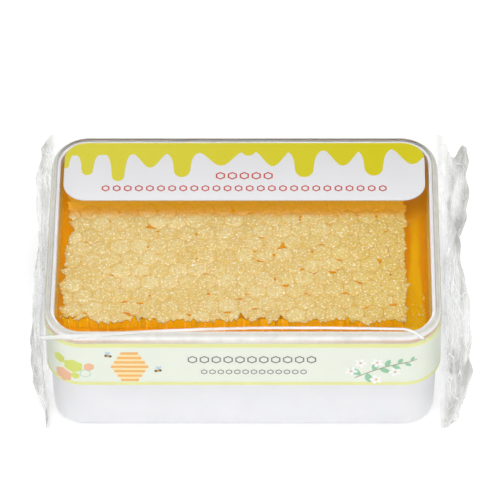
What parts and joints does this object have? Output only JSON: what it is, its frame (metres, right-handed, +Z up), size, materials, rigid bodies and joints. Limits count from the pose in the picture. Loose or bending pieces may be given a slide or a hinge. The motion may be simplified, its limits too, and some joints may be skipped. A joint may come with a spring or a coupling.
{
  "type": "boxed honeycomb piece",
  "caption": "A cut piece of capped honeycomb in honey, in a white tub with a deep clear lid and plain labels, sealed in clear film with a fin at each end.",
  "frame": {"origin": "middle of the pack's underside, at the centre of the whole pack's length and depth", "axes": "+X along the length to the longer fin, +Y from the front of the pack to its back, +Z up"},
  "size_m": [0.126, 0.083, 0.0399],
  "materials": {
    "tub": "satin white moulded plastic",
    "lid": "clear glossy plastic",
    "honey": "clear amber liquid",
    "comb": "pale wax caps wet with honey",
    "top_label": "white label with yellow-green drips",
    "band_label": "pale green label with yellow-green borders",
    "film": "thin clear crinkled film"
  },
  "bodies": {
    "root": {"tub": "tub", "lid": "lid", "honey": "honey", "comb": "comb", "top_label": "top_label", "band_label": "band_label", "film_wrap": "film"}
  },
  "joints": []
}
